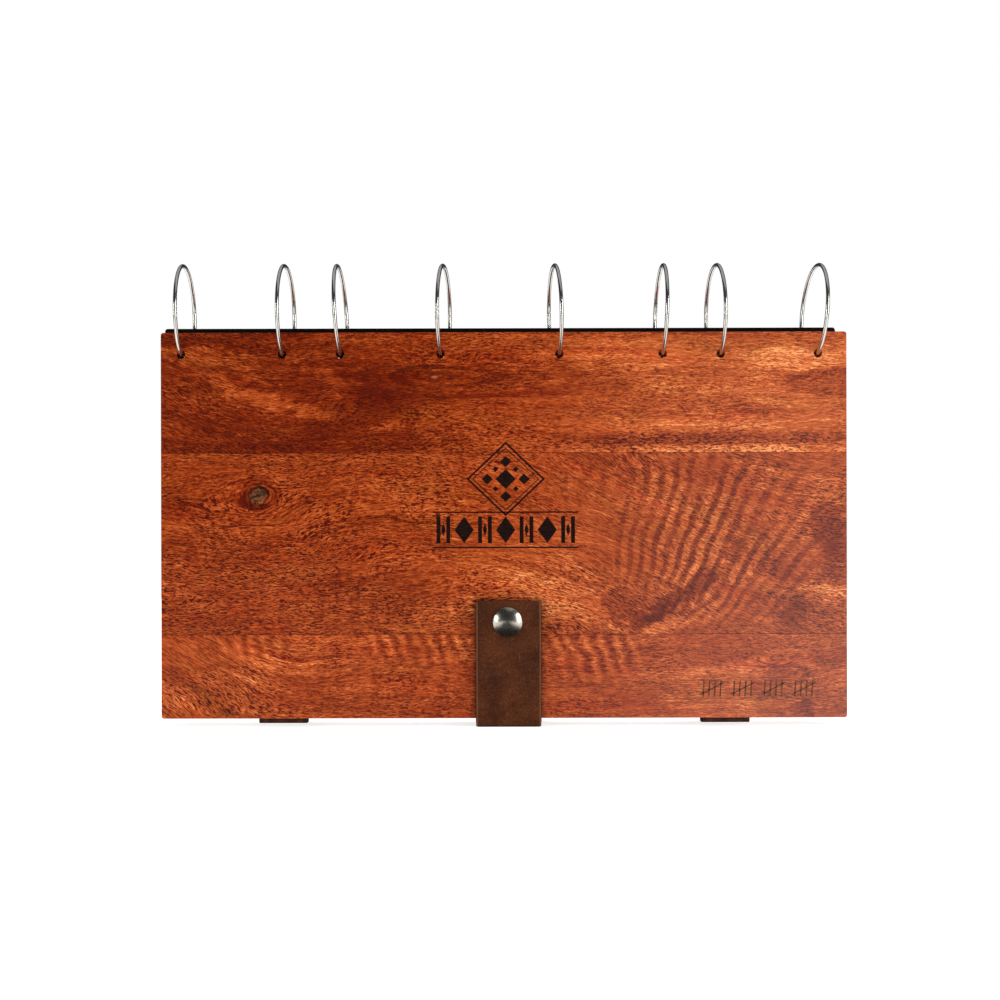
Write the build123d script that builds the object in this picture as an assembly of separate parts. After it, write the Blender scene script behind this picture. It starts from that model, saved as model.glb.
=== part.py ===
from build123d import *
import math
import os

# Ring-bound flip scoreboard, closed: two hardwood covers with four columns of
# ten number cards between them, hung on eight wire rings, and shut by a leather
# strap with a snap.
# Frame: +X to the user's right, -Y towards the user (the front cover faces -Y),
# +Z up. Origin: bottom centre of the whole object's box. Millimetres.

# ---------------------------------------------------------------- dimensions
# covers
COVER_W = 350.0            # both covers, along X
COVER_T = 6.0              # thickness of one cover
FRONT_H = 197.0            # front cover height
REAR_H = 201.1             # rear cover is taller above the rings' holes
COVER_BOTTOM_Z = 4.5       # lower edge of both covers
STACK_T = 25.0             # outside of front cover to outside of rear cover
FRONT_CX = 0.9             # front cover centre
REAR_CX = -0.9             # rear cover sits 1.8 mm further left
EDGE_R = 0.6               # eased long edges
CORNER_R = 1.4             # corners seen from the front
JOINT_LOW_Z = 47.3         # glue line between bottom and middle staves
JOINT_HIGH_Z = 139.9       # glue line between middle and top staves

# rings: closed hoops of round wire, their plane close to YZ
RING_R = 25.0              # to the wire's centre line
WIRE_D = 2.0
RING_Z = 212.1             # height of the rings' centres, also the hinge axis
RING_BUTT = 0.4            # gap at the wire's butt joint, at the bottom
# centre x, yaw about Z in degrees, lean about Y in degrees
RINGS = [
    (-164.02, -0.28, -0.97),
    (-111.78, -2.69, -0.66),
    (-83.41, -1.73, -3.38),
    (-30.06, -5.65, 0.07),
    (27.66, 5.49, -1.33),
    (82.50, 1.48, 1.93),
    (110.81, 3.93, -0.12),
    (161.92, 3.97, 3.91),
]
FRONT_HOLE_D = 4.4         # drilled along the wire, snug on it
REAR_HOLE_D = 8.5          # the rings turn freely in the rear cover

# number cards
CARD_W = 69.0
CARD_T = 0.6
CARD_PITCH = 1.2
CARD_TOP_Z = 198.0
CARD_BOTTOM_Z = 12.0
CARD_CORNER_R = 4.0
CARD_HOLE_D = 8.0
CARD_HOLE_DROP = 25.5      # hole centre below the rings' centres
COLUMNS = ["left_tens", "left_ones", "right_tens", "right_ones"]
CARDS_PER_COLUMN = 10

# feet: rubber pads under the covers' lower edges
FOOT_W = 25.0
FOOT_D = 5.0
FOOT_H = 2.4
FOOT_X = 112.8

# strap and snap
STRAP_W = 33.6
STRAP_T = 2.5
STRAP_X = 3.1
STRAP_BEND_R = 4.0         # outside of the bends under the covers
STRAP_TOP_Z = 64.6         # free end, on the front
STRAP_BACK_TOP_Z = 58.0    # fixed end, on the back
STRAP_CORNER_R = 2.0
SNAP_X = 2.6
SNAP_Z = 54.0
SNAP_STANDOFF = 3.4        # leather stands off the cover by the snap's depth
CAP_D = 15.0
CAP_H = 3.0
SOCKET_D = 12.0
STUD_D = 11.0
STUD_NUB_D = 5.6
SCREW_HEAD_D = 8.0
SCREW_HEAD_H = 2.2
SCREW_SHANK_D = 3.0
SCREW_Z = (22.0, 44.0)

# ---------------------------------------------------------------- derived
FRONT_Y0 = -STACK_T / 2                 # outer face of the front cover
FRONT_Y1 = FRONT_Y0 + COVER_T
REAR_Y1 = STACK_T / 2                   # outer face of the rear cover
REAR_Y0 = REAR_Y1 - COVER_T
FRONT_TOP_Z = COVER_BOTTOM_Z + FRONT_H
REAR_TOP_Z = COVER_BOTTOM_Z + REAR_H

os.makedirs("parts", exist_ok=True)


def save(name, *solids):
    """Write one node; several solids make a group of separate pieces."""
    shape = solids[0] if len(solids) == 1 else Compound(children=list(solids))
    export_step(shape, f"parts/{name}.step")


def one(shape):
    return shape.solids()[0]


def slab(x0, x1, y0, y1, z0, z1):
    return Pos((x0 + x1) / 2, (y0 + y1) / 2, (z0 + z1) / 2) * Box(x1 - x0, y1 - y0, z1 - z0)


def rod(a, b, d):
    """Round bar from point a to point b."""
    a, b = Vector(*a), Vector(*b)
    axis = b - a
    plane = Plane(origin=a, z_dir=axis)
    return plane * Cylinder(d / 2, axis.length, align=(Align.CENTER, Align.CENTER, Align.MIN))


def ring_point(ring, y, dz_sign=-1):
    """Centre line of a ring where it crosses depth y, on its lower half."""
    x0, yaw, lean = ring
    yl = y / math.cos(math.radians(yaw))
    z = dz_sign * math.sqrt(RING_R**2 - yl**2)
    return (
        x0 + z * math.sin(math.radians(lean)) - yl * math.sin(math.radians(yaw)),
        y,
        RING_Z + z * math.cos(math.radians(lean)),
    )


# ---------------------------------------------------------------- covers
def cover_blank(cx, y0, y1, top):
    blank = slab(cx - COVER_W / 2, cx + COVER_W / 2, y0, y1, COVER_BOTTOM_Z, top)
    corners = blank.edges().filter_by(Axis.Y)
    blank = fillet(corners, CORNER_R)
    rim = blank.faces().filter_by(Axis.Y).edges()
    return fillet(rim, EDGE_R)


def staves(blank, cx, y0, y1, top):
    cuts = [COVER_BOTTOM_Z - 1, JOINT_LOW_Z, JOINT_HIGH_Z, top + 1]
    out = []
    for low, high in zip(cuts, cuts[1:]):
        region = slab(cx - COVER_W, cx + COVER_W, y0 - 1, y1 + 1, low, high)
        out.append(one(blank & region))
    return out


front = cover_blank(FRONT_CX, FRONT_Y0, FRONT_Y1, FRONT_TOP_Z)
for ring in RINGS:
    a = Vector(*ring_point(ring, FRONT_Y0))
    b = Vector(*ring_point(ring, FRONT_Y1))
    d = (b - a).normalized()
    front -= rod(tuple(a - d * 4), tuple(b + d * 4), FRONT_HOLE_D)
# pilot hole for the snap stud's screw
front -= rod((SNAP_X, FRONT_Y0 - 1, SNAP_Z), (SNAP_X, FRONT_Y0 + 5.2, SNAP_Z), 2.6)
front_parts = staves(one(front), FRONT_CX, FRONT_Y0, FRONT_Y1, FRONT_TOP_Z)
for name, part in zip(("bottom", "middle", "top"), front_parts):
    save(f"front_cover_{name}_stave", part)

rear = cover_blank(REAR_CX, REAR_Y0, REAR_Y1, REAR_TOP_Z)
for ring in RINGS:
    zc = (ring_point(ring, REAR_Y0)[2] + ring_point(ring, REAR_Y1)[2]) / 2
    rear -= rod((ring[0], REAR_Y0 - 1, zc), (ring[0], REAR_Y1 + 1, zc), REAR_HOLE_D)
for z in SCREW_Z:
    rear -= rod((STRAP_X, REAR_Y1 + 1, z), (STRAP_X, REAR_Y1 - 4.6, z), SCREW_SHANK_D + 0.1)
rear_parts = staves(one(rear), REAR_CX, REAR_Y0, REAR_Y1, REAR_TOP_Z)
for name, part in zip(("bottom", "middle", "top"), rear_parts):
    save(f"rear_cover_{name}_stave", part)

# ---------------------------------------------------------------- rings


def hoop(ring):
    x0, yaw, lean = ring
    wire = Torus(RING_R, WIRE_D / 2)
    wire = Rot(0, 90, 0) * wire
    wire -= Pos(0, 0, -RING_R) * Box(6, RING_BUTT, 6)
    return one(Pos(x0, 0, RING_Z) * Rot(0, 0, yaw) * Rot(0, lean, 0) * wire)


hoops = [hoop(r) for r in RINGS]
for i, column in enumerate(COLUMNS):
    save(f"rings_{column}", hoops[2 * i], hoops[2 * i + 1])

# ---------------------------------------------------------------- cards
for i, column in enumerate(COLUMNS):
    left, right = RINGS[2 * i], RINGS[2 * i + 1]
    cx = (left[0] + right[0]) / 2
    for k in range(CARDS_PER_COLUMN):
        y = (k - (CARDS_PER_COLUMN - 1) / 2) * CARD_PITCH
        card = slab(cx - CARD_W / 2, cx + CARD_W / 2, y - CARD_T / 2, y + CARD_T / 2,
                    CARD_BOTTOM_Z, CARD_TOP_Z)
        card = fillet(card.edges().filter_by(Axis.Y), CARD_CORNER_R)
        for ring in (left, right):
            hz = RING_Z - CARD_HOLE_DROP
            card -= rod((ring[0], y - 2, hz), (ring[0], y + 2, hz), CARD_HOLE_D)
        save(f"card_{column}_{k}", one(card))

# ---------------------------------------------------------------- feet


def pad(x, y):
    p = slab(x - FOOT_W / 2, x + FOOT_W / 2, y - FOOT_D / 2, y + FOOT_D / 2,
             COVER_BOTTOM_Z - FOOT_H, COVER_BOTTOM_Z)
    p = fillet(p.edges().filter_by(Axis.Z), 1.0)
    return one(fillet(p.faces().sort_by(Axis.Z)[0].edges(), 0.6))


front_mid = (FRONT_Y0 + FRONT_Y1) / 2
rear_mid = (REAR_Y0 + REAR_Y1) / 2
save("front_feet", pad(FRONT_CX - FOOT_X, front_mid), pad(FRONT_CX + FOOT_X, front_mid))
save("rear_feet", pad(REAR_CX - FOOT_X, rear_mid), pad(REAR_CX + FOOT_X, rear_mid))

# ---------------------------------------------------------------- strap
# Section in YZ: down the back of the rear cover, under both covers, up the
# front. The bend centre lines are STRAP_BEND_R above the table.
SX0, SX1 = STRAP_X - STRAP_W / 2, STRAP_X + STRAP_W / 2
BEND_Z = STRAP_BEND_R
BACK_OUT = REAR_Y1 + STRAP_T                  # outer face of the back run
BACK_BEND_Y = BACK_OUT - STRAP_BEND_R
FRONT_OUT = FRONT_Y0 - STRAP_T - 0.3          # outer face just above the front bend
FRONT_BEND_Y = FRONT_OUT + STRAP_BEND_R       # hinge axis of the flap
INNER_R = STRAP_BEND_R - STRAP_T


def arc_pts(cy, cz, r, a0, a1, n=10):
    return [
        (cy + r * math.cos(math.radians(a0 + (a1 - a0) * i / n)),
         cz + r * math.sin(math.radians(a0 + (a1 - a0) * i / n)))
        for i in range(n + 1)
    ]


def extrude_yz(points, x0, x1):
    face = make_face(Plane.YZ * Polyline(*points, close=True))
    return Pos(x0, 0, 0) * extrude(face, amount=x1 - x0, dir=(1, 0, 0))


# The run ends at the bottom of the front bend; the bend belongs to the flap.
run = extrude_yz(
    [(BACK_OUT, STRAP_BACK_TOP_Z)]
    + arc_pts(BACK_BEND_Y, BEND_Z, STRAP_BEND_R, 0, -90)
    + [(FRONT_BEND_Y, 0), (FRONT_BEND_Y, STRAP_T)]
    + arc_pts(BACK_BEND_Y, BEND_Z, INNER_R, -90, 0)
    + [(REAR_Y1, STRAP_BACK_TOP_Z)],
    SX0, SX1,
)
top_corners = run.edges().filter_by(Axis.Y).sort_by(Axis.Z)[-2:]
run = fillet(top_corners, STRAP_CORNER_R)
for z in SCREW_Z:
    run -= rod((STRAP_X, REAR_Y1 - 2, z), (STRAP_X, BACK_OUT + 2, z), SCREW_SHANK_D + 0.1)
save("strap_back_run", one(run))

FLAP_IN = FRONT_Y0 - SNAP_STANDOFF            # inner face of the flap at the snap
FLAP_OUT = FLAP_IN - STRAP_T
flap = extrude_yz(
    arc_pts(FRONT_BEND_Y, BEND_Z, STRAP_BEND_R, -90, -180)
    + [(FRONT_OUT - 0.4, 14.0), (FLAP_OUT + 0.3, 36.0), (FLAP_OUT, 42.0),
       (FLAP_OUT, STRAP_TOP_Z), (FLAP_IN, STRAP_TOP_Z),
       (FLAP_IN, 42.0), (FLAP_IN + 0.3, 36.0), (FRONT_OUT + STRAP_T - 0.4, 14.0)]
    + arc_pts(FRONT_BEND_Y, BEND_Z, INNER_R, -180, -90),
    SX0, SX1,
)
top_corners = flap.edges().filter_by(Axis.Y).sort_by(Axis.Z)[-2:]
flap = fillet(top_corners, STRAP_CORNER_R)
flap -= rod((SNAP_X, FLAP_OUT - 2, SNAP_Z), (SNAP_X, FLAP_IN + 2, SNAP_Z), 4.0)
save("strap_flap", one(flap))


# ---------------------------------------------------------------- snap
def turned(profile, y_of_zero):
    """Solid of revolution about the snap's axis. Profile: (radius, distance
    outwards from y_of_zero towards the user)."""
    pts = [(r, y_of_zero - h) for r, h in profile]
    face = make_face(Polyline(*pts, close=True))
    solid = revolve(face, Axis.Y)
    return one(Pos(SNAP_X, 0, SNAP_Z) * solid)


# stud: wood screw shank, base disc and nub with a waist
save("snap_stud", turned(
    [(0, -5.0), (0.6, -4.6), (1.25, -3.6), (1.25, 0), (STUD_D / 2, 0), (STUD_D / 2, 0.5),
     (STUD_D / 2 - 0.5, 0.8), (2.3, 0.9), (2.3, 1.5), (STUD_NUB_D / 2, 1.9),
     (STUD_NUB_D / 2, 2.3), (2.3, 2.7), (0, 2.8)], FRONT_Y0))

# socket: cup under the leather that closes over the nub
save("snap_socket", turned(
    [(0, SNAP_STANDOFF), (SOCKET_D / 2 - 0.4, SNAP_STANDOFF), (SOCKET_D / 2, SNAP_STANDOFF - 0.3),
     (SOCKET_D / 2, 1.3), (SOCKET_D / 2 - 0.4, 1.0), (3.1, 1.0), (3.1, 3.0),
     (0, 3.0)], FRONT_Y0))

# cap: dome outside the leather with its post through the leather
dome = [(1.9, SNAP_STANDOFF), (1.9, SNAP_STANDOFF + STRAP_T), (CAP_D / 2 - 0.3, SNAP_STANDOFF + STRAP_T),
        (CAP_D / 2, SNAP_STANDOFF + STRAP_T + 0.35)]
for i in range(1, 13):
    a = math.radians(90 * i / 12)
    dome.append((CAP_D / 2 * math.cos(a), SNAP_STANDOFF + STRAP_T + 0.35 + (CAP_H - 0.35) * math.sin(a)))
dome[-1] = (0, SNAP_STANDOFF + STRAP_T + CAP_H)
dome.append((0, SNAP_STANDOFF))
save("snap_cap", turned(dome, FRONT_Y0))


# ---------------------------------------------------------------- screws
def screw(z):
    y0 = BACK_OUT
    pts = [(0, -(STRAP_T + 4.4)), (0.5, -(STRAP_T + 4.2)), (SCREW_SHANK_D / 2, -(STRAP_T + 3.0)),
           (SCREW_SHANK_D / 2, 0), (SCREW_HEAD_D / 2, 0), (SCREW_HEAD_D / 2, 0.5)]
    for i in range(1, 8):
        a = math.radians(90 * i / 8)
        pts.append((SCREW_HEAD_D / 2 * math.cos(a), 0.5 + (SCREW_HEAD_H - 0.5) * math.sin(a)))
    pts.append((0, SCREW_HEAD_H))
    face = make_face(Polyline(*[(r, y0 + h) for r, h in pts], close=True))
    solid = revolve(face, Axis.Y)
    s = Pos(STRAP_X, 0, z) * solid
    s -= slab(STRAP_X - 2.4, STRAP_X + 2.4, y0 + SCREW_HEAD_H - 1.0, y0 + SCREW_HEAD_H + 1, z - 0.45, z + 0.45)
    s -= slab(STRAP_X - 0.45, STRAP_X + 0.45, y0 + SCREW_HEAD_H - 1.0, y0 + SCREW_HEAD_H + 1, z - 2.4, z + 2.4)
    return one(s)


save("strap_screws", *[screw(z) for z in SCREW_Z])

# clearances of the wires in their holes as the cards and rings turn
for ring in RINGS:
    amp = RING_R * math.hypot(math.sin(math.radians(ring[1])), math.sin(math.radians(ring[2])))
    print(f"ring x {ring[0]:8.2f}  side play used {amp:4.2f} mm of "
          f"{(CARD_HOLE_D - WIRE_D) / 2:.1f} in the cards, {(REAR_HOLE_D - WIRE_D) / 2:.2f} in the rear cover")
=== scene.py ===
import math
import random

import bpy
import bmesh
from mathutils import Matrix, Vector


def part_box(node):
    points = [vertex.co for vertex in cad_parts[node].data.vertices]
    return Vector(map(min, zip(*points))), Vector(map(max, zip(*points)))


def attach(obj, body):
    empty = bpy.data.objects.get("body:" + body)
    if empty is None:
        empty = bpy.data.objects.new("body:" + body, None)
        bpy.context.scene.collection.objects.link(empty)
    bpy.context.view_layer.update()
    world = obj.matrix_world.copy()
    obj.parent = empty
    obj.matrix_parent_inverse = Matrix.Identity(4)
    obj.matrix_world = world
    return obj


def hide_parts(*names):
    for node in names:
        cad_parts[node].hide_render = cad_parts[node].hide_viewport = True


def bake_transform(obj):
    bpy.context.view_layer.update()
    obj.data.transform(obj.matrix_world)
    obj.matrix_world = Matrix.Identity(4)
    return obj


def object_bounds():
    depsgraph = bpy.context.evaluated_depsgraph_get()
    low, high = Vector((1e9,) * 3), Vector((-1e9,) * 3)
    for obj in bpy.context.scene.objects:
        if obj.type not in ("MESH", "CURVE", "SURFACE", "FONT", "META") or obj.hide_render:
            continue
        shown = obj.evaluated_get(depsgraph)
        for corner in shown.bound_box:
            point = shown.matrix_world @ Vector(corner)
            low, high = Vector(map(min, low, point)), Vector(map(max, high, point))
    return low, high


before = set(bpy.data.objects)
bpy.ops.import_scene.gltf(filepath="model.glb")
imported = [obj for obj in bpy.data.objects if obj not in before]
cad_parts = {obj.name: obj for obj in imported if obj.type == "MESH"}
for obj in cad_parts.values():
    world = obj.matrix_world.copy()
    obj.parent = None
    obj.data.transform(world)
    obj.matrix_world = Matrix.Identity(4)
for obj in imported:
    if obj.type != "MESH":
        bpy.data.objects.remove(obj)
CAD_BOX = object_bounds()

MM = 0.001
scene = bpy.context.scene
scene.view_settings.view_transform = "Standard"

# ------------------------------------------------------------------ camera
# Square on to the front cover, 800 mm from its face.
lo, hi = (Vector(v) for v in CAD_BOX)
FACE_Y = min(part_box(f"front_cover_{s}_stave")[0][1] for s in ("bottom", "middle", "top"))
cam = bpy.data.cameras.new("camera")
cam.sensor_width = 36.0
cam.lens = 36.0 * 800.0 / 510.1
cam.clip_end = 50
eye = bpy.data.objects.new("camera", cam)
scene.collection.objects.link(eye)
eye.location = (-1.1 * MM, FACE_Y - 0.800, 115.8 * MM)
eye.rotation_euler = (math.radians(90), math.radians(0.13), 0)
scene.camera = eye


# ------------------------------------------------------------------ node tools
def lin(c):
    """sRGB 0..255 to linear, with alpha."""
    out = []
    for v in c[:3]:
        v /= 255.0
        out.append(v / 12.92 if v <= 0.04045 else ((v + 0.055) / 1.055) ** 2.4)
    return (*out, 1.0)


class S:
    """A socket that adds, subtracts, multiplies and divides as Math nodes."""

    def __init__(self, g, k):
        self.g, self.k = g, k

    def __add__(self, o): return self.g.f("ADD", self, o)
    def __radd__(self, o): return self.g.f("ADD", o, self)
    def __sub__(self, o): return self.g.f("SUBTRACT", self, o)
    def __rsub__(self, o): return self.g.f("SUBTRACT", o, self)
    def __mul__(self, o): return self.g.f("MULTIPLY", self, o)
    def __rmul__(self, o): return self.g.f("MULTIPLY", o, self)
    def __truediv__(self, o): return self.g.f("DIVIDE", self, o)


class G:
    """A material being built. x, y and z are object coordinates in millimetres."""

    def __init__(self, name):
        self.m = bpy.data.materials.new(name)
        self.m.use_nodes = True
        self.t = self.m.node_tree
        self.t.nodes.clear()
        out = self.t.nodes.new("ShaderNodeOutputMaterial")
        self.b = self.t.nodes.new("ShaderNodeBsdfPrincipled")
        self.t.links.new(self.b.outputs[0], out.inputs[0])
        tc = self.t.nodes.new("ShaderNodeTexCoord")
        self.x, self.y, self.z = (s * 1000.0 for s in self.sep(S(self, tc.outputs["Object"])))

    def put(self, sock, v):
        if isinstance(v, S):
            self.t.links.new(v.k, sock)
        elif isinstance(v, (int, float)) and hasattr(sock.default_value, "__len__"):
            sock.default_value = [v] * len(sock.default_value)
        else:
            sock.default_value = v

    def f(self, op, a, b=0.0, c=0.0, clamp=False):
        n = self.t.nodes.new("ShaderNodeMath")
        n.operation, n.use_clamp = op, clamp
        for s, v in zip(n.inputs, (a, b, c)):
            self.put(s, v)
        return S(self, n.outputs[0])

    def sep(self, v):
        n = self.t.nodes.new("ShaderNodeSeparateXYZ")
        self.put(n.inputs[0], v)
        return [S(self, o) for o in n.outputs]

    def comb(self, a, b, c):
        n = self.t.nodes.new("ShaderNodeCombineXYZ")
        for s, v in zip(n.inputs, (a, b, c)):
            self.put(s, v)
        return S(self, n.outputs[0])

    def noise(self, v, detail=2.0, rough=0.5, dist=0.0, scale=1.0):
        n = self.t.nodes.new("ShaderNodeTexNoise")
        self.put(n.inputs["Vector"], v)
        n.inputs["Scale"].default_value = scale
        n.inputs["Detail"].default_value = detail
        n.inputs["Roughness"].default_value = rough
        n.inputs["Distortion"].default_value = dist
        return S(self, n.outputs[0])

    def cells(self, v, scale=1.0, feature="F1", rnd=1.0):
        n = self.t.nodes.new("ShaderNodeTexVoronoi")
        n.feature = feature
        self.put(n.inputs["Vector"], v)
        n.inputs["Scale"].default_value = scale
        n.inputs["Randomness"].default_value = rnd
        return S(self, n.outputs["Distance"])

    def ss(self, v, a, b, lo=0.0, hi=1.0):
        n = self.t.nodes.new("ShaderNodeMapRange")
        n.interpolation_type = "SMOOTHSTEP"
        for s, w in zip(n.inputs, (v, a, b, lo, hi)):
            self.put(s, w)
        return S(self, n.outputs[0])

    def ramp(self, v, stops):
        n = self.t.nodes.new("ShaderNodeValToRGB")
        e = n.color_ramp.elements
        while len(e) < len(stops):
            e.new(0.5)
        for el, (p, c) in zip(e, stops):
            el.position, el.color = p, lin(c)
        self.put(n.inputs[0], v)
        return S(self, n.outputs[0])

    def mixc(self, f, a, b, mode="MIX"):
        n = self.t.nodes.new("ShaderNodeMix")
        n.data_type, n.blend_type = "RGBA", mode
        self.put(n.inputs[0], f)
        self.put(n.inputs[6], lin(a) if isinstance(a, tuple) else a)
        self.put(n.inputs[7], lin(b) if isinstance(b, tuple) else b)
        return S(self, n.outputs[2])

    def gain(self, c, k):
        """Colour times a value, which may be above 1."""
        n = self.t.nodes.new("ShaderNodeVectorMath")
        n.operation = "SCALE"
        self.put(n.inputs[0], c)
        self.put(n.inputs["Scale"], k)
        return S(self, n.outputs[0])

    def bump(self, h, dist, strength=1.0, normal=None):
        n = self.t.nodes.new("ShaderNodeBump")
        n.inputs["Strength"].default_value = strength
        n.inputs["Distance"].default_value = dist * MM
        self.put(n.inputs["Height"], h)
        if normal is not None:
            self.put(n.inputs["Normal"], normal)
        return S(self, n.outputs[0])

    def set(self, **kw):
        for k, v in kw.items():
            self.put(self.b.inputs[k.replace("_", " ")], v)
        return self

    def blob(self, cx, cz, rx, rz, angle=0.0):
        """1 at a point, falling smoothly to 0 at an ellipse round it."""
        ca, sa = math.cos(math.radians(angle)), math.sin(math.radians(angle))
        dx, dz = self.x - cx, self.z - cz
        u = (dx * ca + dz * sa) * (1.0 / rx)
        v = (dz * ca - dx * sa) * (1.0 / rz)
        d2 = u * u + v * v
        return self.ss(d2, 0.0, 1.0, 1.0, 0.0)


# ------------------------------------------------------------------ wood
WOOD = [
    (0.00, (68, 11, 0)), (0.205, (97, 22, 0)), (0.344, (122, 39, 3)), (0.461, (143, 54, 12)),
    (0.561, (161, 69, 24)), (0.683, (183, 84, 35)), (0.778, (200, 100, 47)), (0.878, (218, 121, 62)),
    (1.00, (242, 158, 96)),
]


def wood(name, seed, tone=(0.46, 0.6), glue=(), knots=(), eyes=(), slopes=(), dips=(), figures=(),
         fans=(), stains=(), streaks=(), threads=(), wedges=(), poretone=(1.0, 1.0), pores_at=(), strap_shade=None, black_inside=None):
    """Oiled acacia, grain along X. All places are in millimetres in the row
    frame. tone is the mean tone at the left and right ends. slopes let the
    grain fall to the right, dips bend it near a point, figures and fans are
    the bands of light that a wavy grain gives across itself."""
    g = G(name)
    x, y, z = g.x, g.y, g.z
    n1 = g.noise(g.comb(x * (1 / 95) + seed, y * (1 / 60), z * (1 / 36)), 2, 0.5)
    n2 = g.noise(g.comb(x * (1 / 26), y * (1 / 20) + seed, z * (1 / 11)), 2, 0.5)
    n3 = g.noise(g.comb(x * (1 / 7), y * (1 / 5), z * (1 / 3.2) + seed), 1, 0.5)
    rough_field = (n2 - 0.5) * 3.4 + (n3 - 0.5) * 0.9
    for kx, kz, r, stretch in knots:
        dx, dz = (x - kx) * (1 / stretch), z - kz
        rough_field = rough_field * g.ss(dx * dx + dz * dz, r * r * 0.3, r * r * 5.0, 0.25, 1.0)
    v = z + (n1 - 0.5) * 15.0 + rough_field
    for x0, x1, rise, lean in slopes:
        # lean moves the fall along X with height
        v = v + g.ss(x + (z - 95.0) * lean, x0, x1) * rise
    for dx0, dz0, rx, rz, depth in dips:
        v = v + g.blob(dx0, dz0, rx, rz) * depth
    for kx, kz, r, stretch in knots:
        dx, dz = (x - kx) * (1 / stretch), z - kz
        q = r * 0.80
        v = v - dz * (0.95 * q * q) / (dx * dx + dz * dz + (1.25 * q * q))
    for sx, sz, left, right, rz in eyes:
        # a swelling of the grain, which closes its lines into long eyes
        dx = x - sx
        dx = g.f("MAXIMUM", dx, 0.0) * (1 / right) + g.f("MINIMUM", dx, 0.0) * (1 / left)
        dz = (z - sz) * (1 / rz)
        v = v + g.ss(dx * dx + dz * dz, 0.0, 1.0, 1.0, 0.0) * (rz * 0.20)
    # patches with irregular borders
    bx = x + (n2 - 0.5) * 34.0 + (n3 - 0.5) * 9.0
    bz = z + (g.noise(g.comb(x * (1 / 19) + 7.7, y * 0.05, z * (1 / 8) + seed), 3, 0.6) - 0.5) * 22.0

    def patch(cx, cz, rx, rz, angle=0.0):
        keep = g.x, g.z
        g.x, g.z = bx, bz
        w = g.blob(cx, cz, rx, rz, angle)
        g.x, g.z = keep
        return w

    band = g.noise(g.comb(x * (1 / 120) + seed, y * (1 / 14), v * (1 / 5.5)), 4, 0.65)
    blot = g.noise(g.comb(x * (1 / 40) + seed, y * (1 / 30), z * (1 / 20)), 4, 0.65, 0.4)
    fib = g.noise(g.comb(x * (1 / 13), y * (1 / 1.4), v * (1 / 0.95)), 3, 0.7)
    fine = g.noise(g.comb(x * (1 / 3.8), y * (1 / 0.55), v * (1 / 0.55) + seed), 2, 0.65)
    flow = g.noise(g.comb(x * (1 / 46) + seed, y * (1 / 3), v * (1 / 1.5)), 3, 0.65)
    left, right = tone
    t = left + g.ss(x, -172.0, 172.0) * (right - left)
    t = t + (band - 0.5) * 0.52 + (blot - 0.5) * 0.40 + (fib - 0.5) * 0.38 + (fine - 0.5) * 0.92 \
        - g.ss(flow, 0.57, 0.72) * 0.12 + g.ss(flow, 0.43, 0.28) * 0.10
    for fx, fz, rx, rz, angle, period, amount in figures:
        ca, sa = math.cos(math.radians(angle)), math.sin(math.radians(angle))
        dx, dz = x - fx, z - fz
        along = dx * ca + dz * sa
        across = dz * ca - dx * sa + (n2 - 0.5) * period * 1.1 + (n3 - 0.5) * period * 0.25
        s1 = g.f("SINE", across * (2 * math.pi / period))
        s2 = g.noise(g.comb(across * (2.6 / period), along * (1 / (period * 3)), seed), 2, 0.6)
        w = g.blob(fx, fz, rx, rz) * g.ss(blot, 0.34, 0.55, 0.35, 1.0)
        t = t + (s1 * 0.6 + (s2 - 0.5) * 0.9) * w * amount
    for px, pz, period, fx, fz, rx, rz, amount, warp in fans:
        th = g.f("ARCTAN2", z - pz, x - px) * (180 / math.pi) + (n2 - 0.5) * period * warp + (n1 - 0.5) * period * 1.6
        s1 = g.f("SINE", th * (2 * math.pi / period))
        s2 = g.noise(g.comb(th * (2.3 / period), g.f("SQRT", (x - px) * (x - px) + (z - pz) * (z - pz)) * (1 / 34), seed), 2, 0.6)
        s3 = g.noise(g.comb(th * (0.55 / period), z * (1 / 30), seed + 2), 1, 0.5)
        w = g.blob(fx, fz, rx, rz) * g.ss(s3, 0.36, 0.60, 0.45, 1.3)
        # flat bright tops between narrower dark valleys
        t = t + (g.ss(s1, -0.9, 0.5, -0.75, 0.55) + (s2 - 0.5) * 0.8) * w * amount
    for cx, cz, rx, rz, angle, amount in stains:
        w = patch(cx, cz, rx * 1.1, rz * 1.15, angle)
        w = g.ss(w + (band - 0.5) * 1.1 + (blot - 0.5) * 0.5 + (fib - 0.5) * 0.6, 0.0, 1.15) * g.ss(w, 0.0, 0.35)
        # a dark patch scales the tone, so the grain still shows in it
        t = t * (1.0 + w * (amount * 1.45)) if amount < 0 else t + w * amount
    for cx, cz, rx, rz, size, amount in threads:
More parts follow.
